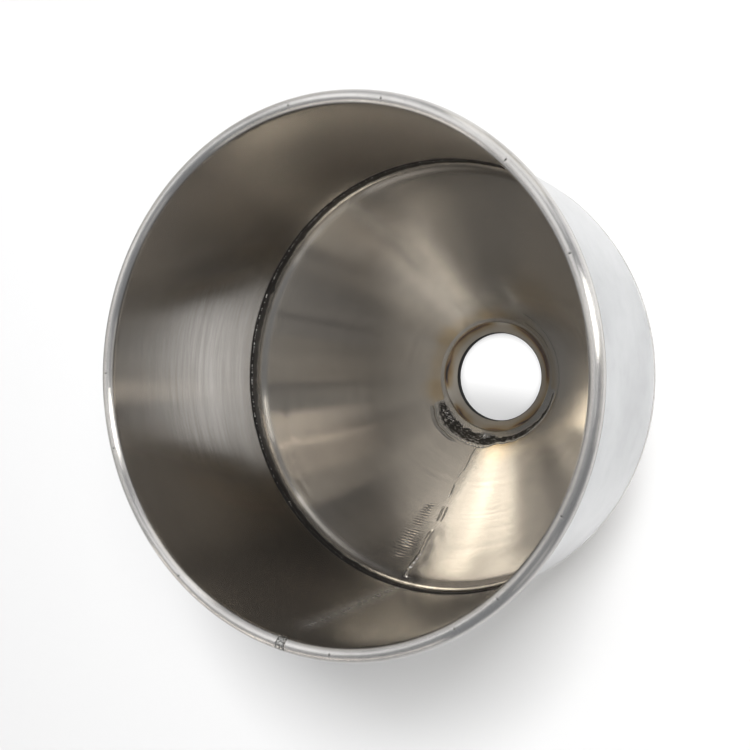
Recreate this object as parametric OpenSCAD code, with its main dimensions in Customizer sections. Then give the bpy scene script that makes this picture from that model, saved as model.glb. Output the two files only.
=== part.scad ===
// Round stainless hopper: a rolled wall with a curled rim, a knuckled cone welded
// under it, and a thick outlet ring welded to the cone's small end.
// Millimetres, mouth upwards, standing on the outlet ring, seams on the -Y side.

/* [Mouth and wall] */
// Diameter over the curled rim
mouth_d = 200; // [160:1:280]
// Thickness of the wall's sheet
wall_t = 1; // [0.8:0.1:1.2]
// Height from the girth weld's centre to the top of the rim
wall_h = 98.5; // [60:0.5:160]
// Diameter of the rim's curl
curl_d = 5.4; // [5:0.1:8]
// Angle that the curl turns through, from the wall over the top
curl_turn = 300; // [250:5:300]

/* [Cone] */
// Thickness of the cone's sheet
cone_t = 1; // [0.8:0.1:1.2]
// Angle between the cone's side and its axis
cone_angle = 40.5; // [32:0.5:50]
// Inside radius of the knuckle at the cone's large end
knuckle_r = 6.5; // [4:0.5:10]
// Angle that the knuckle turns through, a little past the cone's own
knuckle_turn = 60; // [52:1:68]
// Straight edge above the knuckle, up to the girth weld's centre
flange_h = 1.2; // [1.2:0.1:6]

/* [Outlet ring] */
// Diameter of the outlet's bore
bore_d = 45; // [30:0.5:50]
// Straight height of the bore
bore_h = 3.5; // [2:0.5:12]
// Height of the chamfered lead-in above the bore
lead_h = 4.5; // [2:0.5:8]
// Outside diameter of the ring
ring_d = 56; // [53:0.5:75]

/* [Welds] */
// Width of the girth weld
girth_weld_w = 2.2; // [1.4:0.1:2.4]
// Height of the girth weld's crown inside the wall
girth_weld_crown = 0.4; // [0.2:0.05:0.6]
// Gap between the ring and the cone's edge, filled by the outlet weld
outlet_gap = 0.9; // [0.5:0.1:1.2]
// Width of the outlet weld on the cone, measured from the ring's edge
outlet_weld_w = 8; // [5:0.5:10]
// How far the outlet weld laps onto the ring's lead-in
outlet_weld_lap = 1; // [0.5:0.1:2]
// Height of the outlet weld's crown
outlet_weld_crown = 0.6; // [0.3:0.05:1]
// Width of the cone's seam weld
seam_weld_w = 3.6; // [2:0.2:6]
// Depth of the seam weld in the cone's sheet
seam_weld_depth = 0.5; // [0.3:0.05:0.6]
// Height of the seam weld above the cone's inside
seam_weld_crown = 0.3; // [0.1:0.05:0.5]
// Width of the weld that closes the curl at the rim's seam
rim_weld_w = 3.5; // [2:0.5:6]
// How far the rim weld is ground below the curl's surface
rim_weld_dip = 0.1; // [0.05:0.05:0.3]

/* [Hidden] */
$fn = 240;

STEEL_OUT = [0.80, 0.80, 0.81];
STEEL_IN = [0.66, 0.63, 0.59];
STEEL_RING = [0.62, 0.55, 0.46];
STEEL_WELD = [0.42, 0.39, 0.36];

seam_azimuth = 270;
bore_r = bore_d / 2;
ring_r = ring_d / 2;
curl_r = curl_d / 2;
wall_r = mouth_d / 2 - curl_d;

// The cone's inside is a line from the ring's top edge, and a point on it is given
// by its distance up the side and its distance in from the sheet.
ring_h = bore_h + lead_h;
cone_foot = [ring_r, ring_h];
up_side = [sin(cone_angle), cos(cone_angle)];
off_side = [-cos(cone_angle), sin(cone_angle)];
function on_cone(along, off) = cone_foot + along * up_side + off * off_side;

// The knuckle is tangent to the wall at its top and ends in a crease on the cone.
// Its height is kept to a thousandth, so that what stands on it meets exactly.
crease_r = wall_r - knuckle_r * (1 - cos(knuckle_turn));
cone_side = (crease_r - ring_r) / sin(cone_angle);
crease_z = on_cone(cone_side, 0)[1];
knuckle_z = round(1000 * (crease_z + knuckle_r * sin(knuckle_turn))) / 1000;
knuckle_at = [wall_r - knuckle_r, knuckle_z];

girth_z = knuckle_z + flange_h;
flange_top = girth_z - girth_weld_w / 2;
wall_foot = girth_z + girth_weld_w / 2;
rim_z = girth_z + wall_h;
curl_at = [wall_r + curl_r, rim_z - curl_r];

// The outlet weld runs from its toe on the ring's lead-in to its toe on the cone.
lead_in = [ring_r - bore_r, lead_h];
function on_lead(along) = cone_foot - along * lead_in / norm(lead_in);
weld_toe_ring = on_lead(outlet_weld_lap);
weld_toe_cone = on_cone(outlet_weld_w, 0);

// A pie slice from the first angle round to the second, less than 180 degrees on
module slice(size, from, to) {
    middle = (from + to) / 2;
    polygon([[0, 0],
        size * [cos(from), sin(from)],
        size * [cos(middle), sin(middle)],
        size * [cos(to), sin(to)]]);
}

// A bent strip of sheet with the given inside radius
module bend(inside_r, thickness) {
    difference() {
        circle(inside_r + thickness);
        circle(inside_r);
    }
}

// The circle that rounds a weld bead, through its two toes and up to its crown
module bead_round(toe_a, toe_b, crown) {
    run = toe_b - toe_a;
    width = norm(run);
    round_r = (crown * crown + width * width / 4) / (2 * crown);
    translate((toe_a + toe_b) / 2)
        rotate(atan2(run[1], run[0]))
            translate([0, crown - round_r]) circle(round_r);
}

// A slab through the seam, of the given width, on the seam's side of the axis only
module seam_slab(width) {
    rotate([0, 0, seam_azimuth])
        translate([0, -width / 2, 0])
            cube([mouth_d, width, rim_z + curl_d]);
}

module curl_section() {
    translate(curl_at)
        difference() {
            bend(curl_r - wall_t, wall_t);
            slice(3 * curl_r, 180, 540 - curl_turn);
        }
}

// Everything of the rim that is above the curl's centre or outside the straight wall
module curl_side() {
    translate([wall_r + wall_t, curl_at[1] - curl_d]) square(2 * curl_d);
    translate([wall_r - wall_t, curl_at[1]]) square(2 * curl_d);
}

module cone_section() {
    translate([wall_r, knuckle_z]) square([cone_t, flange_top - knuckle_z]);
    translate(knuckle_at)
        intersection() {
            bend(knuckle_r, cone_t);
            slice(3 * (knuckle_r + cone_t), -knuckle_turn, 0);
        }
    polygon([on_cone(outlet_gap, 0), on_cone(outlet_gap, -cone_t),
        on_cone(cone_side, -cone_t), on_cone(cone_side, 0)]);
}

// The seam weld's bed, from the outlet weld's toe to the knuckle's crease
module seam_section(crown) {
    polygon([on_cone(outlet_weld_w, -seam_weld_depth), on_cone(cone_side, -seam_weld_depth),
        on_cone(cone_side, crown), on_cone(outlet_weld_w, crown)]);
}

module wall() {
    color(STEEL_OUT)
        difference() {
            union() {
                rotate_extrude()
                    translate([wall_r, wall_foot]) square([wall_t, curl_at[1] - wall_foot]);
                rotate_extrude() curl_section();
            }
            intersection() {
                rotate_extrude() curl_side();
                seam_slab(rim_weld_w);
            }
        }
}

module cone() {
    color(STEEL_IN)
        difference() {
            rotate_extrude() cone_section();
            intersection() {
                rotate_extrude() seam_section(cone_t);
                seam_slab(seam_weld_w);
            }
        }
}

module outlet_ring() {
    color(STEEL_RING)
        rotate_extrude()
            polygon([[bore_r, 0], [ring_r, 0], cone_foot, [bore_r, bore_h]]);
}

module girth_weld() {
    color(STEEL_WELD)
        rotate_extrude() {
            translate([wall_r, flange_top]) square([wall_t, girth_weld_w]);
            intersection() {
                bead_round([wall_r, flange_top], [wall_r, wall_foot], girth_weld_crown);
                translate([0, flange_top]) square([wall_r, girth_weld_w]);
            }
        }
}

module cone_seam_weld() {
    color(STEEL_WELD)
        intersection() {
            rotate_extrude() seam_section(seam_weld_crown);
            seam_slab(seam_weld_w);
        }
}

// The space that the outlet weld fills lies on the lead-in, the ring's edge, the
// cone's cut edge and the cone, and runs past both toes.
module outlet_weld() {
    past = 2 * outlet_weld_crown;
    color(STEEL_WELD)
        rotate_extrude()
            intersection() {
                bead_round(weld_toe_ring, weld_toe_cone, outlet_weld_crown);
                polygon([on_lead(outlet_weld_lap + past), cone_foot,
                    on_cone(outlet_gap, -cone_t), on_cone(outlet_gap, 0),
                    on_cone(outlet_weld_w + past, 0), on_cone(outlet_weld_w + past, past),
                    on_lead(outlet_weld_lap + past) + past * off_side]);
            }
}

module rim_seam_weld() {
    color(STEEL_WELD)
        intersection() {
            rotate_extrude()
                intersection() {
                    translate(curl_at) circle(curl_r - rim_weld_dip);
                    curl_side();
                }
            seam_slab(rim_weld_w);
        }
}

wall();
cone();
outlet_ring();
girth_weld();
cone_seam_weld();
outlet_weld();
rim_seam_weld();
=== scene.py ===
import math

import bpy
import numpy as np
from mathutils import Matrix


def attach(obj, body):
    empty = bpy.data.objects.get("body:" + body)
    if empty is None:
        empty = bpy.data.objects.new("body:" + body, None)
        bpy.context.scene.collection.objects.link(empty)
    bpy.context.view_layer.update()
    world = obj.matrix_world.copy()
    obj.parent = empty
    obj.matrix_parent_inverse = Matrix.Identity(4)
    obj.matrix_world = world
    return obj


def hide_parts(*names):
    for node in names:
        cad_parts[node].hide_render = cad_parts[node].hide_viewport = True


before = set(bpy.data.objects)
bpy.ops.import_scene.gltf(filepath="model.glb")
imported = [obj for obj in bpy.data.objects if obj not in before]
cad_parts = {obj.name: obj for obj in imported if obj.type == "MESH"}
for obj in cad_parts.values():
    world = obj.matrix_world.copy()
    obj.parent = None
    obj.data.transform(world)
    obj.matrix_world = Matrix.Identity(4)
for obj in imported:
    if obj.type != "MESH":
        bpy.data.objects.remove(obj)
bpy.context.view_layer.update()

# Sizes of the hopper in millimetres, as in the part's source
MM = 0.001
WALL_IN = 94.6
WALL_OUT = 95.6
WALL_FOOT = 90.102
FLANGE_TOP = 87.902
GIRTH_Z = 89.002
CURL = np.array([97.3, 184.802])
CURL_OUT = 2.7
CURL_IN = 1.7
CURL_END = -120.0
KNUCKLE = np.array([88.1, 87.802])
KNUCKLE_IN = 6.5
KNUCKLE_OUT = 7.5
KNUCKLE_TURN = 60.0
CONE_FOOT = np.array([28.0, 8.0])
CONE_SIDE = 97.545
CONE_ANGLE = math.radians(40.5)
UP_SIDE = np.array([math.sin(CONE_ANGLE), math.cos(CONE_ANGLE)])
OFF_SIDE = np.array([-math.cos(CONE_ANGLE), math.sin(CONE_ANGLE)])
SHEET = 1.0
WELD_GAP = 0.9
BEAD_TO = 16.0
BORE_R = 22.5
BORE_H = 3.5
RING_R = 28.0
RING_H = 8.0
SEAM_HALF = 1.8
SEAM_FROM = 8.0
PLUG_HALF = 1.75
PLUG_R = 2.6

# Between the wall's inside and outside, for marks that belong to one of them
WALL_MIDDLE = 95.1

# Colours of the steel, clean and handled
WALL_SATIN = ((0.57, 0.55, 0.53, 1), (0.51, 0.49, 0.465, 1))
WALL_POLISH = ((0.54, 0.55, 0.56, 1), (0.42, 0.43, 0.44, 1))
CURL_POLISH = ((0.70, 0.68, 0.66, 1), (0.62, 0.60, 0.575, 1))
CONE_SATIN = ((0.62, 0.585, 0.535, 1), (0.53, 0.50, 0.455, 1))

# Colours of the marks on it, painted shade among them
WALL_BANDS = (0.46, 0.435, 0.405, 1)
WALL_STREAKS = (0.40, 0.375, 0.345, 1)
WALL_SEAM = (0.72, 0.70, 0.67, 1)
# Burned steel at the wall's foot, also used as painted shade under the curl
WALL_BURNT = (0.10, 0.095, 0.09, 1)
CONE_BANDS = (0.49, 0.45, 0.40, 1)
CONE_STREAKS = (0.42, 0.395, 0.36, 1)
# Painted shade beside the seam, a dark wedge in the lamp's reflection
CONE_DULL = (0.20, 0.19, 0.18, 1)
# Burned steel under the girth weld, drawn narrower where the lamp lights it, as painted light
CONE_BURNT = (0.09, 0.085, 0.08, 1)
SPOT = (0.30, 0.28, 0.26, 1)
NICK = (0.06, 0.055, 0.05, 1)
RING_STEEL = (0.68, 0.64, 0.58, 1)
# Painted shade in the bore
BORE_BLACK = (0.012, 0.012, 0.012, 1)

# Colours of the floor's card, and its painted shade under the bore
CARD = (0.55, 0.55, 0.555, 1)
CARD_UNDER_BORE = (0.12, 0.12, 0.12, 1)

# The seams are on the -Y side, and turn counts degrees from there about the axis
SEAM_AT = -90.0


def on_cone(along, off=0.0):
    """A point of the cone's section: along up its inside from the ring, off in from the sheet."""
    return CONE_FOOT + along * UP_SIDE + off * OFF_SIDE


def line(start, end, count, even=0.0):
    """Points from start up to end, without end. Half a cosine wave spaces them, closer
    towards both ends, and even mixes in equal steps."""
    t = np.arange(count) / count
    t = even * t + (1 - even) * (1 - np.cos(np.pi * t)) / 2
    return np.outer(1 - t, start) + np.outer(t, end)


def arc(centre, radius, start, end, count):
    """Points on a circle from the start angle up to the end angle in degrees, without the end."""
    t = np.radians(start + (end - start) * np.arange(count) / count)
    return centre + radius * np.stack([np.cos(t), np.sin(t)], axis=1)


def lengths(loop):
    """How far along a closed profile each of its points lies, with the full length last."""
    steps = np.linalg.norm(np.roll(loop, -1, axis=0) - loop, axis=1)
    return np.concatenate([[0.0], np.cumsum(steps)])


def soften(loop, reach):
    """A closed profile with rounded corners: it is sampled every 0.04 mm along its length,
    averaged under a bell curve as wide as reach, and read again at the old lengths."""
    sample = 0.04
    run = lengths(loop)
    count = int(run[-1] / sample)
    even = np.arange(count) * run[-1] / count
    waves = np.fft.rfftfreq(count, run[-1] / count)
    kept = np.exp(-2 * (np.pi * waves * reach) ** 2)
    ring = np.vstack([loop, loop[:1]])
    r = np.interp(even, run, ring[:, 0])
    z = np.interp(even, run, ring[:, 1])
    r = np.fft.irfft(np.fft.rfft(r) * kept, count)
    z = np.fft.irfft(np.fft.rfft(z) * kept, count)
    r = np.interp(run[:-1], even, r, period=run[-1])
    z = np.interp(run[:-1], even, z, period=run[-1])
    return np.stack([r, z], axis=1)


def outward(loop):
    """Each point's unit normal on a closed profile that runs counter-clockwise: the chord of
    its two neighbours, turned a quarter clockwise."""
    chord = np.roll(loop, -1, axis=0) - np.roll(loop, 1, axis=0)
    chord = chord / np.linalg.norm(chord, axis=1, keepdims=True)
    return np.stack([chord[:, 1], -chord[:, 0]], axis=1)


def bell(x, middle, width):
    """A bell curve of height one: e to the minus square of the distance from the middle, counted
    in widths."""
    return np.exp(-(((x - middle) / width) ** 2))


def ease(x, low, high):
    """Rises smoothly from nought at low to one at high, as three squares less two cubes. Where
    low is the larger of the two it falls instead."""
    t = np.clip((x - low) / (high - low), 0, 1)
    return t * t * (3 - 2 * t)


def ripple(u, v, seed, size_u, size_v, count=24):
    """A smooth random field of about unit spread: a sum of sine waves over u and v whose lengths
    scatter about size_u and size_v."""
    dice = np.random.default_rng(seed)
    total = 0.0
    for turn_u, turn_v, phase in dice.uniform((-1, -1, 0), (1, 1, 1), (count, 3)):
        total = total + np.sin(2 * np.pi * (u * turn_u / size_u + v * turn_v / size_v + phase))
    return total * math.sqrt(2 / count)


def around(turn, seed, lowest, highest):
    """A smooth random wave of about unit spread that closes on itself round the axis: a sum of
    whole numbers of waves per turn from lowest to highest."""
    dice = np.random.default_rng(seed)
    counts = np.arange(lowest, highest + 1)
    total = 0.0
    for count, phase in zip(counts, dice.uniform(0, 2 * np.pi, len(counts))):
        total = total + np.sin(count * np.radians(turn) + phase)
    return total * math.sqrt(2 / len(counts))


def out_of_round(turn, height):
    """How far the rolled sheets stand off a true circle: a few slow waves round the axis that
    grow from the girth weld up to the middle of the wall and die away at the rim and the cone."""
    swell = bell(height, 140, 45) + 0.35 * bell(height, 55, 25)
    return 0.05 * swell * around(turn, 11, 2, 5)


def full_turn(count):
    """Even steps round the axis in degrees, as a column."""
    return (np.arange(count) * 360 / count - 180)[:, None]


def purple_side(turn):
    """How far the weld's heat turned the outlet purple, from nought to one round the axis."""
    return ease(turn, 80, 105) * ease(turn, 186, 140)


def revolved(r, z, turn):
    """A section carried round the axis: at each turn t the point is r cos t, r sin t, z."""
    t = np.radians(turn + SEAM_AT)
    return np.stack([r * np.cos(t), r * np.sin(t), z], axis=-1)


def add_piece(name, points, node, slot, finish, closed_turn=True, crease=50, **marks):
    """A net of four-sided faces over a grid of points, closed round its section. It is closed
    round the axis too, or has an end at each side, where rungs join the two halves of the section.
    Marks are numbers kept at the points for the material. An edge that bends by more than the
    crease, in degrees, stays sharp."""
    rows, cols = points.shape[:2]
    i = np.arange(rows if closed_turn else rows - 1)[:, None]
    j = np.arange(cols)[None, :]
    i2 = (i + 1) % rows
    j2 = (j + 1) % cols
    quads = np.stack([i * cols + j, i2 * cols + j, i2 * cols + j2, i * cols + j2], axis=-1)
    quads = quads.reshape(-1, 4)
    u = np.stack([i + 0 * j, i + 1 + 0 * j, i + 1 + 0 * j, i + 0 * j], axis=-1) / rows
    v = np.stack([j + 0 * i, j + 0 * i, j + 1 + 0 * i, j + 1 + 0 * i], axis=-1) / cols
    corner = np.stack([u, v], axis=-1).reshape(-1, 2)
    if not closed_turn:
        k = np.arange(cols // 2 - 1)
        rungs = np.stack([k, k + 1, cols - 2 - k, cols - 1 - k], axis=-1)
        last = (rows - 1) * cols + rungs[:, ::-1]
        quads = np.concatenate([quads, rungs, last])
        corner = np.concatenate([corner, np.zeros((2 * rungs.size, 2))])
    mesh = bpy.data.meshes.new(name)
    mesh.vertices.add(rows * cols)
    mesh.vertices.foreach_set("co", (points * MM).astype(np.float32).ravel())
    mesh.loops.add(quads.size)
    mesh.loops.foreach_set("vertex_index", quads.astype(np.int32).ravel())
    mesh.polygons.add(len(quads))
    mesh.polygons.foreach_set("loop_start", np.arange(0, quads.size, 4, dtype=np.int32))
    mesh.update(calc_edges=True)
    mesh.validate()
    layer = mesh.uv_layers.new(name="round_and_along")
    layer.uv.foreach_set("vector", corner.astype(np.float32).ravel())
    for label, values in marks.items():
        held = mesh.attributes.new(label, "FLOAT", "POINT")
        numbers = np.broadcast_to(values, (rows, cols)).astype(np.float32)
        held.data.foreach_set("value", numbers.ravel())
    mesh.shade_smooth()
    mesh.set_sharp_from_angle(angle=math.radians(crease))
    mesh.materials.append(finish)
    piece = bpy.data.objects.new(name, mesh)
    bpy.context.scene.collection.objects.link(piece)
    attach(piece, "root")
    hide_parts(node)


# Node helpers


def wire(tree, value, socket):
    """Links a socket, or sets a plain value."""
    if isinstance(value, bpy.types.NodeSocket):
        tree.links.new(value, socket)
    else:
        socket.default_value = value


def put(tree, kind, settings=None, **inputs):
    """Adds a node with its own settings, and fills its inputs by name."""
    made = tree.nodes.new(kind)
    for key, value in (settings or {}).items():
        setattr(made, key, value)
    for key, value in inputs.items():
        wire(tree, value, made.inputs[key.replace("_", " ")])
    return made


def object_at(tree):
    """A point's Object coordinates, in metres."""
    return put(tree, "ShaderNodeTexCoord").outputs["Object"]


def maths(tree, operation, first, second=0.0, third=0.0):
    """One step of arithmetic on sockets or plain numbers."""
    made = put(tree, "ShaderNodeMath", {"operation": operation})
    for value, socket in zip((first, second, third), made.inputs):
        wire(tree, value, socket)
    return made.outputs[0]


def blend(tree, share, first, second, kind="MIX"):
    """A colour between first and second."""
    made = put(tree, "ShaderNodeMix", {"data_type": "RGBA", "blend_type": kind})
    for value, index in ((share, 0), (first, 6), (second, 7)):
        wire(tree, value, made.inputs[index])
    return made.outputs[2]


def spread(tree, value, low, high, to_low=0.0, to_high=1.0):
    """Carries a value from one range to another with soft ends, and holds it there."""
    made = put(tree, "ShaderNodeMapRange", {"interpolation_type": "SMOOTHSTEP"})
    for item, index in ((value, 0), (low, 1), (high, 2), (to_low, 3), (to_high, 4)):
        wire(tree, item, made.inputs[index])
    return made.outputs[0]


def cloud(tree, where, scale, detail=3.0, rough=0.5):
    """Smooth noise from nought to one."""
    made = put(tree, "ShaderNodeTexNoise", Vector=where, Scale=scale, Detail=detail, Roughness=rough)
    return made.outputs["Fac"]


def ramp(tree, value, stops):
    """A colour ramp with the given places and colours."""
    made = put(tree, "ShaderNodeValToRGB", Fac=value)
    elements = made.color_ramp.elements
    while len(elements) < len(stops):
        elements.new(1.0)
    for element, (place, colour) in zip(elements, stops):
        element.position = place
        element.color = (*colour, 1.0)
    return made.outputs[0]


def new_group(name, inputs, outputs):
    """A shader node group with named number inputs and outputs; colours are marked by a star."""
    group = bpy.data.node_groups.new(name, "ShaderNodeTree")
    for label, value in inputs:
        made = group.interface.new_socket(label, in_out="INPUT", socket_type="NodeSocketFloat")
        made.default_value = value
    for label in outputs:
        kind = "NodeSocketColor" if label.endswith("*") else "NodeSocketFloat"
        group.interface.new_socket(label.rstrip("*"), in_out="OUTPUT", socket_type=kind)
    start = group.nodes.new("NodeGroupInput")
    end = group.nodes.new("NodeGroupOutput")
    return group, start.outputs, end.inputs


def use_group(tree, group, **inputs):
    """Places a node group, fills its inputs by name and gives its outputs."""
    made = put(tree, "ShaderNodeGroup", {"node_tree": group}, **inputs)
    return made.outputs


def place_group():
    """Where a point lies on the hopper, from Object coordinates: radius and height in millimetres,
    and turn in degrees from the seams."""
    group, _, out = new_group("hopper_place", [], ["Radius", "Height", "Turn"])
    at = object_at(group)
    part = put(group, "ShaderNodeSeparateXYZ", Vector=at).outputs
    across = maths(group, "POWER", part["X"], 2.0)
    across = maths(group, "ADD", across, maths(group, "POWER", part["Y"], 2.0))
    radius = maths(group, "MULTIPLY", maths(group, "SQRT", across), 1 / MM)
    height = maths(group, "MULTIPLY", part["Z"], 1 / MM)
    turn = maths(group, "ARCTAN2", part["X"], maths(group, "MULTIPLY", part["Y"], -1.0))
    group.links.new(radius, out["Radius"])
    group.links.new(height, out["Height"])
    group.links.new(maths(group, "DEGREES", turn), out["Turn"])
    return group


def brush_group():
    """Lines left by brushing round the axis: noise that is drawn out round the axis and fine
    along the section, in a broad and a fine layer."""
    group, _, out = new_group("brush_lines", [], ["Lines", "Bands"])
    at = object_at(group)
    part = put(group, "ShaderNodeSeparateXYZ", Vector=at).outputs
    place = use_group(group, PLACE)
    along = maths(group, "ADD", place["Radius"], place["Height"])

    def drawn(round_scale, along_scale):
        """Where to read the noise: X and Y as they are, and the way along the section as height."""
        x = maths(group, "MULTIPLY", part["X"], round_scale)
        y = maths(group, "MULTIPLY", part["Y"], round_scale)
        s = maths(group, "MULTIPLY", along, along_scale)
        return put(group, "ShaderNodeCombineXYZ", X=x, Y=y, Z=s).outputs[0]

    fine = cloud(group, drawn(30.0, 1.3), 1.0, 4.0, 0.65)
    broad = cloud(group, drawn(9.0, 0.35), 1.0, 3.0, 0.55)
    group.links.new(fine, out["Lines"])
    group.links.new(broad, out["Bands"])
    return group


def smudge_group():
    """Cloudy handling marks: two sizes of noise on Object coordinates, with their own strengths,
    and small spots at the middles of cells, let through in patches."""
    strengths = [("Large", 1.0), ("Small", 1.0)]
    group, put_in, out = new_group("handling_marks", strengths, ["Marks", "Spots"])
    at = object_at(group)
    large = spread(group, cloud(group, at, 22.0, 4.0, 0.55), 0.3, 0.7)
    small = spread(group, cloud(group, at, 140.0, 3.0, 0.6), 0.35, 0.75)
    mixed = maths(group, "MULTIPLY", large, put_in["Large"])
    mixed = maths(group, "ADD", mixed, maths(group, "MULTIPLY", small, put_in["Small"]))
    cells = put(group, "ShaderNodeTexVoronoi", Vector=at, Scale=420.0)
    spots = spread(group, cells.outputs["Distance"], 0.06, 0.16, 1.0, 0.0)
    gate = spread(group, cloud(group, at, 60.0, 2.0, 0.5), 0.52, 0.66)
    group.links.new(mixed, out["Marks"])
    group.links.new(maths(group, "MULTIPLY", spots, gate), out["Spots"])
    return group


def heat_group():
    """Colour that welding heat leaves on steel, by a mask from cold to hot: bare, straw, brown,
    purple brown and dark grey, broken up by noise."""
    group, put_in, out = new_group("heat_colour", [("Heat", 0.0)], ["Colour*", "Share"])
    at = object_at(group)
    uneven = maths(group, "MULTIPLY_ADD", cloud(group, at, 210.0, 4.0, 0.6), 0.5, -0.25)
    heat = maths(group, "ADD", put_in["Heat"], maths(group, "MULTIPLY", uneven, put_in["Heat"]))
    colour = ramp(group, heat, [
        (0.0, (0.60, 0.57, 0.53)),
        (0.30, (0.56, 0.47, 0.34)),
        (0.52, (0.40, 0.28, 0.17)),
        (0.72, (0.25, 0.19, 0.17)),
        (1.0, (0.09, 0.085, 0.085)),
    ])
    group.links.new(colour, out["Colour"])
    group.links.new(spread(group, heat, 0.02, 0.3), out["Share"])
    return group


PLACE = place_group()
BRUSH = brush_group()
SMUDGE = smudge_group()
HEAT = heat_group()


def new_finish(name):
    """An empty material with a metal shader: the material, its node tree and the shader."""
    finish = bpy.data.materials.new(name)
    finish.use_nodes = True
    tree = finish.node_tree
    tree.nodes.clear()
    shader = put(tree, "ShaderNodeBsdfPrincipled", Metallic=1.0)
    end = put(tree, "ShaderNodeOutputMaterial")
    tree.links.new(shader.outputs[0], end.inputs["Surface"])
    return finish, tree, shader


def brushed_round(tree, shader, amount):
    """Turns the shader's stretched highlight across the brush lines, which run round the axis."""
    round_axis = put(tree, "ShaderNodeTangent", {"direction_type": "RADIAL", "axis": "Z"})
    tree.links.new(round_axis.outputs[0], shader.inputs["Tangent"])
    shader.inputs["Anisotropic"].default_value = amount
    shader.inputs["Anisotropic Rotation"].default_value = 0.25


def raise_from(tree, shader, height, strength, distance):
    """Bumps the shader's normal by a height, over a distance in metres."""
    made = put(tree, "ShaderNodeBump", Height=height, Strength=strength, Distance=distance)
    tree.links.new(made.outputs[0], shader.inputs["Normal"])


def marked(tree, label):
    """The numbers that a piece keeps at its points under a label, or nought where it has none."""
    return put(tree, "ShaderNodeAttribute", {"attribute_name": label}).outputs["Fac"]


def burnt_share(tree, brush):
    """How far a sheet is darkened by weld burn and by painted shade: the mark that holds both, with
    its edge broken up by the brush lines.
    """
    uneven = maths(tree, "MULTIPLY_ADD", brush["Lines"], 0.4, marked(tree, "scar"))
    return spread(tree, uneven, 0.55, 1.1)


def wall_finish():
    """Satin brushed steel inside, polished outside and on the curl, with dark nicks on the curl, a
    pale and duller seam line, painted shade under the curl and burned steel at the foot."""
    finish, tree, shader = new_finish("wall_satin_and_polish")
    place = use_group(tree, PLACE)
    brush = use_group(tree, BRUSH)
    smudge = use_group(tree, SMUDGE, Large=0.7, Small=0.3)
    outside = spread(tree, place["Radius"], 94.75, WALL_MIDDLE)
    curl = spread(tree, place["Height"], 181.0, 182.4)
    seam = marked(tree, "seam")
    inside_colour = blend(tree, smudge["Marks"], *WALL_SATIN)
    bands = maths(tree, "MULTIPLY", brush["Bands"], 0.35)
    inside_colour = blend(tree, bands, inside_colour, WALL_BANDS)
    outside_colour = blend(tree, smudge["Marks"], *WALL_POLISH)
    rim_colour = blend(tree, smudge["Marks"], *CURL_POLISH)
    outside_colour = blend(tree, curl, outside_colour, rim_colour)
    streak = spread(tree, brush["Lines"], 0.38, 0.62, 0.0, 0.30)
    inside_colour = blend(tree, streak, inside_colour, WALL_STREAKS)
    pale = maths(tree, "MULTIPLY", seam, 0.25)
    inside_colour = blend(tree, pale, inside_colour, WALL_SEAM)
    colour = blend(tree, outside, inside_colour, outside_colour)
    spots = maths(tree, "MULTIPLY", smudge["Spots"], 0.45)
    colour = blend(tree, spots, colour, SPOT)
    colour = blend(tree, marked(tree, "nick"), colour, NICK)
    # Weld burn at the foot and painted shade under the curl
    scar = burnt_share(tree, brush)
    colour = blend(tree, scar, colour, WALL_BURNT)
    wire(tree, colour, shader.inputs["Base Color"])
    satin = maths(tree, "MULTIPLY_ADD", brush["Bands"], 0.06, 0.115)
    satin = maths(tree, "MULTIPLY_ADD", brush["Lines"], 0.05, satin)
    satin = maths(tree, "MULTIPLY_ADD", seam, 0.10, satin)
    polish = maths(tree, "MULTIPLY_ADD", smudge["Marks"], 0.05, 0.08)
    polish = maths(tree, "MULTIPLY_ADD", curl, 0.14, polish)
    level = put(tree, "ShaderNodeMix", {"data_type": "FLOAT"})
    for value, index in ((outside, 0), (satin, 2), (polish, 3)):
        wire(tree, value, level.inputs[index])
    wire(tree, maths(tree, "MULTIPLY_ADD", scar, 0.2, level.outputs[0]), shader.inputs["Roughness"])
    brushed_round(tree, shader, 1.0)
    raise_from(tree, shader, brush["Lines"], 0.05, 0.0002)
    return finish


def cone_finish():
    """Satin steel brushed round the axis, tinted near the outlet, with painted shade beside the seam,
    and burned under the girth weld, less so on the lit side as painted light."""
    finish, tree, shader = new_finish("cone_brushed_satin")
    brush = use_group(tree, BRUSH)
    smudge = use_group(tree, SMUDGE, Large=0.7, Small=0.3)
    colour = blend(tree, smudge["Marks"], *CONE_SATIN)
    bands = maths(tree, "MULTIPLY", brush["Bands"], 0.35)
    colour = blend(tree, bands, colour, CONE_BANDS)
    streak = spread(tree, brush["Lines"], 0.38, 0.62, 0.0, 0.26)
    colour = blend(tree, streak, colour, CONE_STREAKS)
    heat = use_group(tree, HEAT, Heat=marked(tree, "tinted"))
    colour = blend(tree, heat["Share"], colour, heat["Colour"])
    spots = maths(tree, "MULTIPLY", smudge["Spots"], 0.35)
    colour = blend(tree, spots, colour, SPOT)
    scar = burnt_share(tree, brush)
    dull = maths(tree, "MULTIPLY", marked(tree, "dull"), 0.75)
    colour = blend(tree, dull, colour, CONE_DULL)
    colour = blend(tree, scar, colour, CONE_BURNT)
    wire(tree, colour, shader.inputs["Base Color"])
    satin = maths(tree, "MULTIPLY_ADD", brush["Bands"], 0.05, 0.08)
    satin = maths(tree, "MULTIPLY_ADD", brush["Lines"], 0.05, satin)
    wire(tree, maths(tree, "MULTIPLY_ADD", scar, 0.2, satin), shader.inputs["Roughness"])
    brushed_round(tree, shader, 1.0)
    raise_from(tree, shader, brush["Lines"], 0.05, 0.0002)
    return finish


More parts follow.
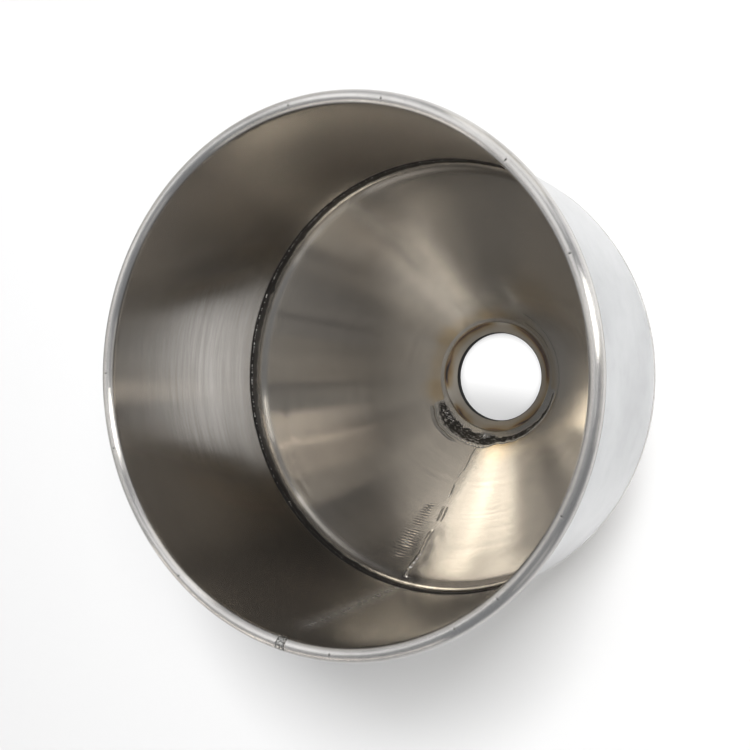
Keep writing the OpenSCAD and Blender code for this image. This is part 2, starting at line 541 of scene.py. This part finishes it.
def ring_finish():
    """Turned steel, tinted by the weld's heat, with a bore painted black and rough as painted shade.
    """
    finish, tree, shader = new_finish("ring_turned_heat_tinted")
    brush = use_group(tree, BRUSH)
    heat = use_group(tree, HEAT, Heat=marked(tree, "tinted"))
    burnt = marked(tree, "burnt")
    colour = blend(tree, heat["Share"], RING_STEEL, heat["Colour"])
    colour = blend(tree, burnt, colour, BORE_BLACK)
    wire(tree, colour, shader.inputs["Base Color"])
    wire(tree, maths(tree, "SUBTRACT", 1.0, burnt), shader.inputs["Metallic"])
    rough = maths(tree, "MULTIPLY_ADD", brush["Bands"], 0.12, 0.27)
    wire(tree, maths(tree, "MULTIPLY_ADD", burnt, 0.45, rough), shader.inputs["Roughness"])
    brushed_round(tree, shader, 0.4)
    raise_from(tree, shader, brush["Lines"], 0.15, 0.0002)
    return finish


def weld_finish(name, bare, dark, rough, mottle):
    """Weld metal from a bare colour to a dark one: tinted where the mark called tinted is high, and
    dark where the dark mark is high, which is oxide on most welds and painted shadow beside the seam's
    ridges. Rough is the bare metal's roughness, and mottle is how much noise breaks up the dark edge."""
    finish, tree, shader = new_finish(name)
    at = object_at(tree)
    grain = cloud(tree, at, 900.0, 3.0, 0.6)
    uneven = maths(tree, "MULTIPLY_ADD", grain, mottle, -0.5 * mottle)
    soot = spread(tree, maths(tree, "ADD", marked(tree, "soot"), uneven), 0.25, 0.75)
    heat = use_group(tree, HEAT, Heat=marked(tree, "tinted"))
    colour = blend(tree, grain, (*bare, 1), (*(0.85 * np.array(bare)), 1))
    colour = blend(tree, heat["Share"], colour, heat["Colour"])
    colour = blend(tree, soot, colour, (*dark, 1))
    wire(tree, colour, shader.inputs["Base Color"])
    wire(tree, maths(tree, "MULTIPLY_ADD", soot, 0.25, rough), shader.inputs["Roughness"])
    raise_from(tree, shader, cloud(tree, at, 1500.0, 3.0, 0.6), 0.15, 0.0002)
    return finish


# Pieces


def wall_sheet(finish):
    """The rolled wall and its hollow curl. The section runs up the outside, round the inside of
    the curl, over its edge, back round the outside of the curl and down the inside, and is carried
    round the axis a little out of round. The curl is moved in towards its own centre where the
    rim's plug sits and at the nicks. Inside, the wall moves in by a swage at its foot and a patch
    of sine waves that lean with height. A faint ridge follows the seam on both sides."""
    edge_in = arc(CURL, CURL_IN, CURL_END, 0, 1)[0]
    edge_out = arc(CURL, CURL_OUT, CURL_END, 0, 1)[0]
    before_curl = np.concatenate([
        line((WALL_IN, WALL_FOOT), (WALL_OUT, WALL_FOOT), 5),
        line((WALL_OUT, WALL_FOOT), (WALL_OUT, CURL[1]), 26, 0.5),
        arc(CURL, CURL_IN, 180, CURL_END, 16),
        line(edge_in, edge_out, 5),
    ])
    over_curl = arc(CURL, CURL_OUT, CURL_END, 180, 44)
    after_curl = line((WALL_IN, CURL[1]), (WALL_IN, WALL_FOOT), 40, 0.5)
    section = soften(np.concatenate([before_curl, over_curl, after_curl]), 0.1)
    nicks = np.array([-162.8, -81, -63.4, -29.4, 12, 41.2, 52.2, 72.8, 122.4, 144.6, 175.2])
    near_plug = np.arange(-1.8, 1.85, 0.1)
    near_nicks = np.add.outer(nicks, np.arange(-0.5, 0.55, 0.1)).ravel()
    turn = np.concatenate([full_turn(500).ravel(), near_plug, near_nicks])
    turn = np.unique(np.round(turn, 3))[:, None]
    r, z = section[:, 0], section[:, 1]
    tube = np.degrees(np.arctan2(z - CURL[1], r - CURL[0]))
    on_curl = np.zeros(len(section))
    on_curl[len(before_curl):-len(after_curl)] = 1
    pinch = 0.45 * on_curl * ease(tube, 175, 155) * ease(np.abs(turn), 1.15, 0.95)
    nick = np.max(bell(turn[..., None], nicks, 0.15), axis=-1) * on_curl * bell(tube, 96, 9)
    inner = ease(r, 94.9, 94.65)
    inside = inner * ease(z, 92, 100) * ease(z, 184, 172)
    sweep = bell(turn, 20 - 0.1 * (z - 140), 10)
    waves = 0.06 * inside * sweep * np.sin(2 * np.pi * (turn / 6.5 + ((z - 185) / 62) ** 2))
    seam = bell(turn, 0, 2.6) * ease(z, 181, 165)
    proud = 0.004 * seam * np.where(r < WALL_MIDDLE, 1, -1)
    inward = pinch + 0.08 * nick
    swage = 0.05 * bell(z, 97.0, 3.0) * inner
    r_new = r + out_of_round(turn, z) - waves - swage - proud - inward * np.cos(np.radians(tube))
    z_new = z - inward * np.sin(np.radians(tube))
    scar = ease(z, 91.6, 90.7) * ease(r, WALL_MIDDLE, 94.8)
    # Painted shade on the curl's underside, in the same mark as the weld's burn at the foot
    scar = scar + 0.6 * on_curl * ease(tube, 30, 0) + 0 * turn
    points = revolved(r_new, z_new, turn)
    add_piece("wall_sheet", points, "wall", "wall_steel", finish, nick=nick, seam=seam, scar=scar)


def cone_sheet(finish):
    """The knuckled cone. The section runs up the outside, round the knuckle to the flange, over
    its edge, back down the knuckle, over the crease and down the inside to the outlet. Its corners
    are a little rounded, the crease more. Inside, the sheet is raised along its normal by faint
    flats, by sine waves that the hammer left beside the seam and by a swell near the crease, and
    lowered by two dents."""
    foot_out = on_cone(WELD_GAP, -SHEET)
    reach = KNUCKLE - foot_out
    up = reach @ UP_SIDE
    off = reach @ OFF_SIDE
    valley = on_cone(WELD_GAP + up + math.sqrt(KNUCKLE_OUT ** 2 - off ** 2), -SHEET)
    valley_angle = math.degrees(math.atan2(*(valley - KNUCKLE)[::-1]))
    side = np.concatenate([
        np.linspace(CONE_SIDE, 92, 16, endpoint=False),
        np.linspace(92, 52, 130, endpoint=False),
        np.linspace(52, WELD_GAP, 64, endpoint=False),
    ])
    loop = np.concatenate([
        line(on_cone(WELD_GAP), foot_out, 4),
        line(foot_out, valley, 24, 0.5),
        arc(KNUCKLE, KNUCKLE_OUT, valley_angle, 0, 14),
        line((WALL_OUT, KNUCKLE[1]), (WALL_OUT, FLANGE_TOP), 1),
        line((WALL_OUT, FLANGE_TOP), (WALL_IN, FLANGE_TOP), 4),
        line((WALL_IN, FLANGE_TOP), (WALL_IN, KNUCKLE[1]), 1),
        arc(KNUCKLE, KNUCKLE_IN, 0, -KNUCKLE_TURN, 24),
        CONE_FOOT + np.outer(side, UP_SIDE),
    ])
    section = soften(loop, 0.12)
    from_crease = np.linalg.norm(loop - on_cone(CONE_SIDE), axis=1)
    near_crease = bell(from_crease, 0, 4.5)[:, None]
    section = section + near_crease * (soften(loop, 1.2) - section)
    near_seam = np.arange(-11, 4, 0.2)
    turn = np.concatenate([full_turn(240).ravel(), near_seam])
    turn = np.unique(np.round(turn, 3))[:, None]
    normal = outward(section)
    r, z = section[:, 0], section[:, 1]
    along = (section - CONE_FOOT) @ UP_SIDE
    inside = (section - CONE_FOOT) @ OFF_SIDE > -0.3
    flats = 0.02 * around(turn, 21, 7, 22) * ease(along, 5, 60) * ease(along, CONE_SIDE, 90)
    band = bell(turn, -6.4, 1.6) * ease(along, 52, 58) * ease(along, 92, 88)
    band = band * (0.6 + 0.4 * ripple(along, turn, 22, 6, 8))
    hammered = 0.12 * band * np.sin(2 * np.pi * (along / 1.6 + 0.08 * turn))
    dents = 0.07 * bell(along, 88.5, 1.6) * bell(turn, -63, 5.5)
    dents = dents + 0.06 * bell(along, 93.6, 1.3) * bell(turn, -44.5, 3.5)
    swell = 0.35 * ease(along, 78, 95) * ease(along, 103, 97) * bell(turn, 24, 15)
    below_crease = along < CONE_SIDE + 2
    rise = inside * (below_crease * (flats + hammered - dents) + swell)
    r = r + out_of_round(turn, z) + rise * normal[:, 0]
    z = z + 0 * turn + rise * normal[:, 1]
    tint = bell(along, 5, 7) * (0.22 + 0.25 * bell(turn, 15, 60))
    tint = tint + 0.10 * ease(around(turn, 23, 3, 9), 0.2, 1.4)
    # The burn under the girth weld is drawn narrower on the lit side, as painted light
    lit = 2.4 * bell(turn, 24, 24)
    in_knuckle = np.linalg.norm(section - KNUCKLE, axis=1) < KNUCKLE_IN + 0.4
    scar = in_knuckle * ease(section[:, 1], 82.6 + lit, 87.0 + 0.3 * lit)
    scar = scar * (1.05 + 0.10 * around(turn, 24, 30, 140))
    # Painted shade beside the seam: it darkens the lamp's reflection there
    dull = ease(along, 60, 78) * (bell(turn, 2.2, 3.0) + 0.6 * bell(turn, -2.5, 2.5))
    dull = inside * dull * (0.8 + 0.25 * ripple(turn * 1.5, along, 25, 5, 9))
    points = revolved(r, z, turn)
    add_piece("cone_sheet", points, "cone", "cone_steel", finish, tinted=tint, scar=scar, dull=dull)


def outlet_ring_turned(finish):
    """The thick ring: a section of four straight sides with eased edges, carried round the axis.
    They are the flat underside, the outside, the chamfered lead-in and the bore. The tint grows
    towards the lead-in's outer edge, with a darker line that wavers there. The bore is painted shade."""
    section = soften(np.concatenate([
        line((BORE_R, 0), (RING_R, 0), 16, 0.5),
        line((RING_R, 0), (RING_R, RING_H), 20, 0.5),
        line((RING_R, RING_H), (BORE_R, BORE_H), 30, 0.5),
        line((BORE_R, BORE_H), (BORE_R, 0), 16, 0.5),
    ]), 0.15)
    turn = full_turn(240)
    r, z = section[:, 0], section[:, 1]
    slope = BORE_H + (r - BORE_R) * (RING_H - BORE_H) / (RING_R - BORE_R)
    lead = ease(z, BORE_H - 0.2, BORE_H + 0.5) * ease(z - slope, -0.8, -0.2)
    flank = 0.4 * ease(r, RING_R - 0.3, RING_R - 0.1) * ease(z, 2.0, RING_H)
    uneven = around(turn, 31, 2, 9)
    line_at = 27.3 + 0.25 * around(turn, 32, 3, 14)
    tint = 0.10 + 0.20 * ease(r, 23.5, 26.5) * (1 + 0.4 * uneven)
    tint = tint + (0.30 + 0.22 * uneven) * bell(r, line_at, 0.6)
    purple = purple_side(turn) * ease(r, 24.8, 26.8)
    tint = flank + lead * (np.maximum(tint, 0.78 * purple) - flank)
    # Painted shade: the bore is drawn black
    burnt = ease(r, BORE_R + 0.6, BORE_R + 0.3) * ease(z, BORE_H + 0.45, BORE_H + 0.1) + 0 * turn
    points = revolved(r + 0 * turn, z + 0 * turn, turn)
    add_piece("outlet_ring_turned", points, "outlet_ring", "ring_steel", finish,
              tinted=tint, burnt=burnt)


def girth_bead(finish):
    """The bead between wall and cone: flush outside, and inside a low parabola across the bead,
    with sine ripples along it, random waves in its height and place, and one lump. Specks of bare
    metal along its middle stay bright, and more of them on the lit side are painted highlights."""
    pitch = 1.25
    half_width = 1.5
    turn = full_turn(2100)
    crown = np.linspace(1, -1, 13)[None, :]
    wander = 0.10 * around(turn, 41, 3, 40)
    beat = turn * 2 * np.pi * WALL_IN / 360 / pitch
    scale = 0.5 + 0.5 * np.sin(2 * np.pi * (beat + 0.35 * crown ** 2 + 0.6 * around(turn, 42, 5, 60)))
    height = 0.42 * (1 - crown ** 2) * (0.6 + 0.25 * around(turn, 43, 20, 90)) + 0.12 * scale
    lump = bell(turn, -41.4, 0.55) * (1 - crown ** 2)
    height = np.clip(height * (1 - crown ** 6), 0.02, 0.75) + 0.55 * lump
    r_in = WALL_IN - height
    z_in = GIRTH_Z + half_width * crown + wander
    r = np.concatenate([r_in, WALL_OUT + 0 * turn, WALL_OUT + 0 * turn], axis=1)
    z = np.concatenate([z_in, FLANGE_TOP + 0 * turn, WALL_FOOT + 0 * turn], axis=1)
    spark = ease(ripple(beat * pitch, crown * half_width, 44, 0.8, 4.0, 30), 0.45, 0.8)
    spark = spark * bell(crown, 0.1, 0.30)
    # Painted highlights: the bare specks are drawn stronger on the lit side
    from_lit = (turn + 285) % 360 - 180
    spark = spark * (0.45 + 0.55 * bell(from_lit, 0, 45))
    soot = 1.0 - 1.2 * spark - 0.8 * lump * scale
    soot = np.concatenate([soot, 0 * turn + 0.42, 0 * turn + 0.42], axis=1)
    points = revolved(r + out_of_round(turn, z), z, turn)
    add_piece("girth_bead", points, "girth_weld", "girth_bead", finish, crease=70, soot=soot)


def seam_bead(finish):
    """The bead along the cone's seam: a strip across the seam and up the side, flush with the
    sheet at its edges, with broken ridges that wander along it: one leaning ridge near the girth
    weld, a pair below it, a faint one further down and a lump at the top end. Painted shadow runs
    along one side of each ridge, and the lump is darker."""
    along = np.linspace(SEAM_FROM, CONE_SIDE + 0.6, 380)[:, None]
    across = np.linspace(-1, 1, 28)[None, :] * (SEAM_HALF + 0.4)
    # Where the ridges run across the strip, and where they are broken
    path = -0.9 - 0.9 * ease(along, 80, 96) + 0.30 * ripple(along, 0, 51, 14, 1)
    path = path + 0.10 * ripple(along, 0, 53, 2.0, 1)
    torn = 0.25 + 0.75 * ease(ripple(along, 0, 52, 7.0, 1), -0.9, -0.3)
    torn = torn * (0.90 + 0.15 * ripple(along, across, 54, 1.6, 3))
    # The leaning ridge, the pair, the faint ridge and the lump
    upper = ease(along, 68, 71)
    lean = ease(across, path - 0.5, path + 0.8) * ease(across, path + 2.2, path + 1.0)
    ridge = (0.26 + 0.20 * ease(along, 78, 88)) * lean * torn * upper
    pair = ease(along, 53.5, 55) * ease(along, 64, 62)
    first = ease(across, path - 0.8, path + 0.1) * ease(across, path + 0.9, path + 0.2)
    second = ease(across, path + 1.3, path + 2.1) * ease(across, path + 2.9, path + 2.2)
    ridge = ridge + 0.24 * pair * torn * (first + second)
    faint = ease(along, 50, 46) * ease(along, 10, 16)
    ridge = ridge + 0.16 * faint * torn * bell(across, path - 0.2, 0.3)
    end = bell(along, CONE_SIDE - 1.5, 2.2) * bell(across, path + 0.3, 1.0)
    ridge = ridge + 0.15 * end * (0.6 + 0.5 * ripple(along, across, 55, 1.3, 1.3))
    # The strip's top, sunk at its edges and at the crease, over a flat underside
    level = -0.06 + ridge - 0.10 * ease(np.abs(across), SEAM_HALF - 0.1, SEAM_HALF + 0.4)
    beyond = np.maximum(along - CONE_SIDE, 0)
    level = level - 0.5 * beyond
    under = np.full_like(level, -0.5)
    off = np.concatenate([level, under[:, ::-1]], axis=1)
    side = np.concatenate([across, across[:, ::-1]], axis=1)
    r = CONE_FOOT[0] + along * UP_SIDE[0] + off * OFF_SIDE[0]
    z = CONE_FOOT[1] + along * UP_SIDE[1] + off * OFF_SIDE[1]
    points = revolved(r, z, np.degrees(side / r))
    # Painted shadow along one side of each ridge, and a darker lump at the top end
    soot = 1.6 * upper * bell(across, path - 0.55, 0.36) + 0.4 * end
    soot = soot + pair * (bell(across, path - 0.75, 0.22) + bell(across, path + 1.4, 0.22))
    soot = soot + 0.7 * faint * bell(across, path - 0.45, 0.28)
    soot = np.concatenate([soot, soot[:, ::-1]], axis=1)
    add_piece("seam_bead", points, "cone_seam_weld", "seam_bead", finish, closed_turn=False, crease=70,
              soot=soot)


def outlet_bead(finish):
    """The bead between cone and ring, as a height over the lead-in and the cone's side. Most of the
    way round it is ground flush and only a narrow band of it shows. On the seam's side a flat ledge
    breaks off in a ragged step to a dark valley, and at lower turns the step is lumpy crust with a
    smooth shoulder outside the valley. Two grooves lie on the far side."""
    mm_per_degree = 0.56
    turn = full_turn(900)
    along = np.linspace(-1.0, BEAD_TO, 76)[None, :]
    lead = (CONE_FOOT - (BORE_R, BORE_H)) / np.linalg.norm(CONE_FOOT - (BORE_R, BORE_H))
    round_mm = turn * mm_per_degree
    # Where round the axis the bead is lumpy crust, and where it is a plain step
    crust = ease(turn, -59, -53) * ease(turn, 13, 8)
    step = ease(turn, 4, 10) * ease(turn, 92, 80)
    broken = np.maximum(step, crust)
    inner = ease(along, -0.9, 0.5)
    flush = 0.17 * inner * ease(along, 4.0, 1.0) - 0.07
    # The ledge's ragged edge, and the far side of the valley
    jag = 4.3 - 0.5 * crust + 0.35 * ripple(round_mm, 0, 62, 6, 1)
    jag = jag + 0.40 * ripple(round_mm, 0, 63, 0.8, 1)
    jag = jag + 2.8 * ease(turn, 20, 85)
    edge = ease(along, jag, jag + 0.5)
    far = 9.4 + 3.4 * ease(turn, -58, -36) * ease(turn, 14, 2) + 0.4 * ease(turn, 15, 40)
    far = far + 0.15 * ripple(round_mm, 0, 64, 5, 1)
    valley = edge * ease(along, far + 0.4, far - 0.5)
    hollow = 0.16 + 0.025 * ripple(round_mm, along, 65, 1.6, 1.6)
    ledge = 0.36 * inner - 0.07
    shoulder = 0.30 * bell(along, far + 1.9, 1.2) * crust * ease(turn, -12, -30)
    torn = ledge * (1 - edge) + hollow * valley - 0.08 * ease(along, far - 0.3, far + 0.5) + shoulder
    # Lumps of the crust, and one drop beside the seam
    lumps = ease(ripple(round_mm, along, 66, 1.1, 1.1), 0.1, 0.9) * bell(along, jag + 2.0, 1.5)
    lumps = lumps * crust * (0.2 + 0.8 * ease(turn, -28, -42))
    lumps = lumps * ease(around(turn, 67, 8, 24), -0.6, 0.3)
    drop = bell(turn, 1.5, 5.5) * bell(along, 4.6, 1.7)
    drop = drop * (0.75 + 0.35 * ripple(round_mm, along, 68, 1.2, 1.2))
    lumps = np.maximum(lumps, drop)
    height = flush + broken * (torn - flush) + 0.75 * lumps
    # Two grooves on the side away from the seam
    groove_at = 6.2 + 0.5 * np.sin(np.radians(turn - 125) * 9)
    groove = ease(turn, 122, 127) * ease(turn, 161, 155) * bell(along, groove_at, 0.3)
    second = 0.6 * ease(turn, 60, 75) * ease(turn, 168, 155) * bell(along, 11.8, 0.35)
    height = height + 0.20 * (groove + second)
    # The line that the height stands on, and the underside
    base_r = CONE_FOOT[0] + np.minimum(along, 0) * lead[0] + np.maximum(along, 0) * UP_SIDE[0]
    base_z = CONE_FOOT[1] + np.minimum(along, 0) * lead[1] + np.maximum(along, 0) * UP_SIDE[1]
    top_r = base_r + height * OFF_SIDE[0]
    top_z = base_z + height * OFF_SIDE[1]
    under = np.concatenate([
        line(on_cone(BEAD_TO, -0.5), on_cone(WELD_GAP, -SHEET), 6),
        line(on_cone(WELD_GAP, -SHEET), CONE_FOOT - (0.2, 0.5), 4),
        line(CONE_FOOT - (0.2, 0.5), CONE_FOOT - lead + (0, -0.3), 3),
    ])
    r = np.concatenate([top_r, under[:, 0] + 0 * turn], axis=1)[:, ::-1]
    z = np.concatenate([top_z, under[:, 1] + 0 * turn], axis=1)[:, ::-1]
    patchy = 0.72 + 0.16 * ripple(round_mm, along, 69, 1.5, 1.2) + 0.4 * bell(along, jag + 0.5, 0.5)
    soot = broken * edge * ease(along, far, far - 3.4 + 1.4 * step)
    soot = soot * (1.0 - 0.9 * ease(lumps, 0.25, 0.6)) * patchy
    soot = soot + 1.2 * (groove + second)
    tint = ease(along, 1.2, -0.2) * (0.40 + 0.12 * around(turn, 31, 2, 9))
    tint = tint + 0.45 * purple_side(turn) * ease(along, 2.6, 0.6)
    under_none = 0 * under[:, 0] + 0 * turn
    soot = np.concatenate([soot, under_none], axis=1)[:, ::-1]
    tint = np.concatenate([tint, under_none], axis=1)[:, ::-1]
    points = revolved(r, z, turn)
    add_piece("outlet_bead", points, "outlet_weld", "outlet_bead", finish, crease=70,
              soot=soot, tinted=tint)


def rim_plug(finish):
    """The weld that closes the curl at its seam: a short length of the curl's round section with
    a mottled, ground surface and a sunk edge at each end."""
    mm_per_degree = 0.047
    side = np.linspace(-1, 1, 48)[:, None]
    angle = (np.arange(72) * 360 / 72 + 180)[None, ::-1]
    tube_mm = angle * mm_per_degree
    dents = 0.035 * ripple(side * PLUG_HALF, tube_mm, 71, 1.3, 1.3)
    groove = np.maximum(bell(side, -0.90, 0.07), 0.7 * bell(side, 0.86, 0.06) * bell(angle, 480, 45))
    radius = PLUG_R + 0.06 + dents - 0.25 * groove - 0.3 * ease(np.abs(side), 0.95, 1.0)
    r = CURL[0] + radius * np.cos(np.radians(angle))
    z = CURL[1] + radius * np.sin(np.radians(angle))
    points = revolved(r, z, np.degrees(side * PLUG_HALF / CURL[0]) + 0 * angle)
    soot = 0.42 + 0.28 * ripple(side * PLUG_HALF, tube_mm, 72, 0.9, 0.9) + 0.9 * groove
    add_piece("rim_plug", points[:, ::-1], "rim_seam_weld", "rim_bead", finish, closed_turn=False,
              crease=70, soot=soot[:, ::-1])


wall_sheet(wall_finish())
cone_sheet(cone_finish())
outlet_ring_turned(ring_finish())
girth_bead(weld_finish(
    "girth_weld_bare", bare=(0.86, 0.85, 0.83), dark=(0.085, 0.082, 0.08), rough=0.28, mottle=0.3,
))
seam_bead(weld_finish(
    "seam_weld_ground", bare=(0.72, 0.69, 0.64), dark=(0.07, 0.065, 0.06), rough=0.24, mottle=0.4,
))
outlet_bead(weld_finish(
    "outlet_weld_ground", bare=(0.58, 0.56, 0.53), dark=(0.085, 0.08, 0.076), rough=0.26, mottle=0.15,
))
rim_plug(weld_finish(
    "rim_weld_ground", bare=(0.60, 0.59, 0.57), dark=(0.16, 0.155, 0.15), rough=0.3, mottle=0.5,
))


# Floor, light and camera


def floor_finish():
    """Pale card that takes the shadow and glows a little to the camera and in reflections. The disc
    under the bore is darker, as painted shade, and glows as a painted pool of light: to the camera,
    half as much on the seams' side, and in reflections that look down on it steeply."""
    finish = bpy.data.materials.new("pale_card")
    finish.use_nodes = True
    tree = finish.node_tree
    tree.nodes.clear()
    rays = put(tree, "ShaderNodeLightPath").outputs
    seen = maths(tree, "ADD", rays["Is Camera Ray"], rays["Is Glossy Ray"])
    seen = maths(tree, "ADD", seen, rays["Is Transmission Ray"])
    seen = maths(tree, "MINIMUM", seen, 1.0)
    place = use_group(tree, PLACE)
    at = object_at(tree)
    part = put(tree, "ShaderNodeSeparateXYZ", Vector=at).outputs
    # Painted shade and a painted glow on the disc under the bore
    under_bore = spread(tree, place["Radius"], 18.0, 27.0, 1.0, 0.0)
    shallow = put(tree, "ShaderNodeLayerWeight", Blend=0.5).outputs["Facing"]
    steep = spread(tree, shallow, 0.30, 0.46, 1.0, 0.0)
    tone = blend(tree, under_bore, CARD, CARD_UNDER_BORE)
    card = put(tree, "ShaderNodeBsdfDiffuse", Color=tone)
    # The painted glow, for the camera and for steep reflections
    shown = spread(tree, part["Y"], -0.020, 0.004, 0.50, 1.0)
    spot = maths(tree, "MULTIPLY", shown, rays["Is Camera Ray"])
    mirrored = maths(tree, "MULTIPLY", rays["Is Glossy Ray"], steep)
    spot = maths(tree, "MULTIPLY_ADD", mirrored, 1.2, spot)
    level = maths(tree, "MULTIPLY_ADD", seen, 0.06, maths(tree, "MULTIPLY", spot, under_bore))
    glow = put(tree, "ShaderNodeEmission", Color=(1, 1, 1, 1), Strength=level)
    both = put(tree, "ShaderNodeAddShader")
    tree.links.new(card.outputs[0], both.inputs[0])
    tree.links.new(glow.outputs[0], both.inputs[1])
    end = put(tree, "ShaderNodeOutputMaterial")
    tree.links.new(both.outputs[0], end.inputs["Surface"])
    return finish


def pale_floor():
    """A flat card 6 m across, just under the ring."""
    half = 3.0
    below = -0.0003
    mesh = bpy.data.meshes.new("floor")
    corners = half * np.array([(-1, -1), (1, -1), (1, 1), (-1, 1)])
    points = np.column_stack([corners, np.full(4, below)])
    mesh.from_pydata(points.tolist(), [], [(0, 1, 2, 3)])
    mesh.materials.append(floor_finish())
    floor = bpy.data.objects.new("floor", mesh)
    bpy.context.scene.collection.objects.link(floor)
    return floor


def softbox(name, turn, rise, distance, width, height, glow, colour=(1, 1, 1)):
    """A flat lamp at a turn from +X and a rise in degrees, facing the hopper's middle. Glow is how
    bright its face looks, so its power is glow times pi times its area."""
    lamp = bpy.data.lights.new(name, "AREA")
    lamp.shape = "RECTANGLE"
    lamp.size = width
    lamp.size_y = height
    lamp.energy = glow * math.pi * width * height
    lamp.color = colour
    t = math.radians(turn)
    e = math.radians(rise)
    way = np.array([math.cos(t) * math.cos(e), math.sin(t) * math.cos(e), math.sin(e)])
    middle = np.array([0, 0, 0.1])
    box = bpy.data.objects.new(name, lamp)
    box.location = middle + distance * way
    box.rotation_euler = (math.pi / 2 - e, 0, t + math.pi / 2)
    bpy.context.scene.collection.objects.link(box)
    return box


def studio(floor):
    """A dim grey room. A bright lamp in two parts stands high on the right, with a smaller one
    nearer the axis and a faint one overhead. Broad lamps stand behind and above, pale cards and
    fills stand low from the right round the back to the left, and a row of warm lamps and a fill
    stand on the near side. One more lamp lights the floor alone, for the hopper's shadow."""
    world = bpy.data.worlds.new("studio")
    world.use_nodes = True
    world.node_tree.nodes["Background"].inputs["Color"].default_value = (0.26, 0.27, 0.285, 1)
    bpy.context.scene.world = world
    # Name, turn, rise, distance, width, height, glow and colour
    softbox("key_lamp", 30, 55.5, 2.0, 0.48, 0.60, 8.8, (1, 0.985, 0.93))
    softbox("key_top", 42, 67, 2.0, 0.40, 0.46, 2.2)
    softbox("fan_lamp", 12, 75, 2.0, 0.50, 0.40, 0.95)
    softbox("overhead_lamp", -60, 82, 2.0, 0.60, 0.60, 0.20)
    softbox("back_lamp", 82, 43, 2.0, 1.1, 1.3, 0.92)
    softbox("back_left_lamp", 125, 43, 2.0, 1.2, 1.3, 0.53)
    softbox("ceiling_lamp", 158, 62, 2.0, 1.0, 1.0, 1.05)
    softbox("right_card", 48, 5, 2.4, 2.0, 0.42, 0.48)
    softbox("back_card", 104, 6, 2.4, 1.7, 0.50, 0.78)
    softbox("left_card", 146, 8, 2.4, 2.0, 0.60, 0.68, (1, 0.96, 0.84))
    softbox("right_fill", 40, 20, 2.2, 1.4, 0.6, 0.94)
    softbox("back_fill", 80, 20, 2.2, 1.4, 0.6, 0.60, (1, 0.92, 0.72))
    softbox("side_fill", 6, 18, 2.2, 1.2, 0.5, 0.80, (1, 0.95, 0.88))
    softbox("warm_left", -134, 22, 2.0, 0.80, 0.40, 2.4, (1, 0.92, 0.82))
    softbox("warm_middle", -114, 27, 2.0, 0.70, 0.34, 2.1, (1, 0.93, 0.84))
    softbox("warm_right", -92, 28, 2.0, 0.70, 0.34, 1.55, (1, 0.95, 0.86))
    softbox("low_left", -155, 7, 2.4, 1.0, 0.55, 0.83)
    softbox("far_left", -170, 47, 2.0, 0.8, 0.5, 0.84, (1, 0.96, 0.9))
    softbox("left_fill", 179, 27, 2.0, 1.0, 0.50, 0.6, (1, 0.95, 0.86))
    softbox("gap_fill", 156, 33, 2.0, 0.44, 0.60, 0.5)
    softbox("front_fill", -52, 42, 2.0, 0.50, 0.45, 0.6, (1, 0.96, 0.9))
    shadow_lamp = softbox("shadow_lamp", 58, 60, 2.0, 0.5, 0.5, 62.0)
    floor_only = bpy.data.collections.new("floor_only")
    floor_only.objects.link(floor)
    shadow_lamp.light_linking.receiver_collection = floor_only


def camera():
    """The photograph's view: from above the mouth, a little to the right of the axis."""
    lens = bpy.data.cameras.new("camera")
    lens.sensor_width = 36
    lens.lens = 47.717
    lens.clip_start = 0.01
    eye = bpy.data.objects.new("camera", lens)
    eye.location = (0.17245, 0.02795, 0.48820)
    eye.rotation_euler = np.radians((0.238, 26.929, 9.608))
    bpy.context.scene.collection.objects.link(eye)
    bpy.context.scene.camera = eye


studio(pale_floor())
camera()
bpy.context.scene.view_settings.view_transform = "Standard"
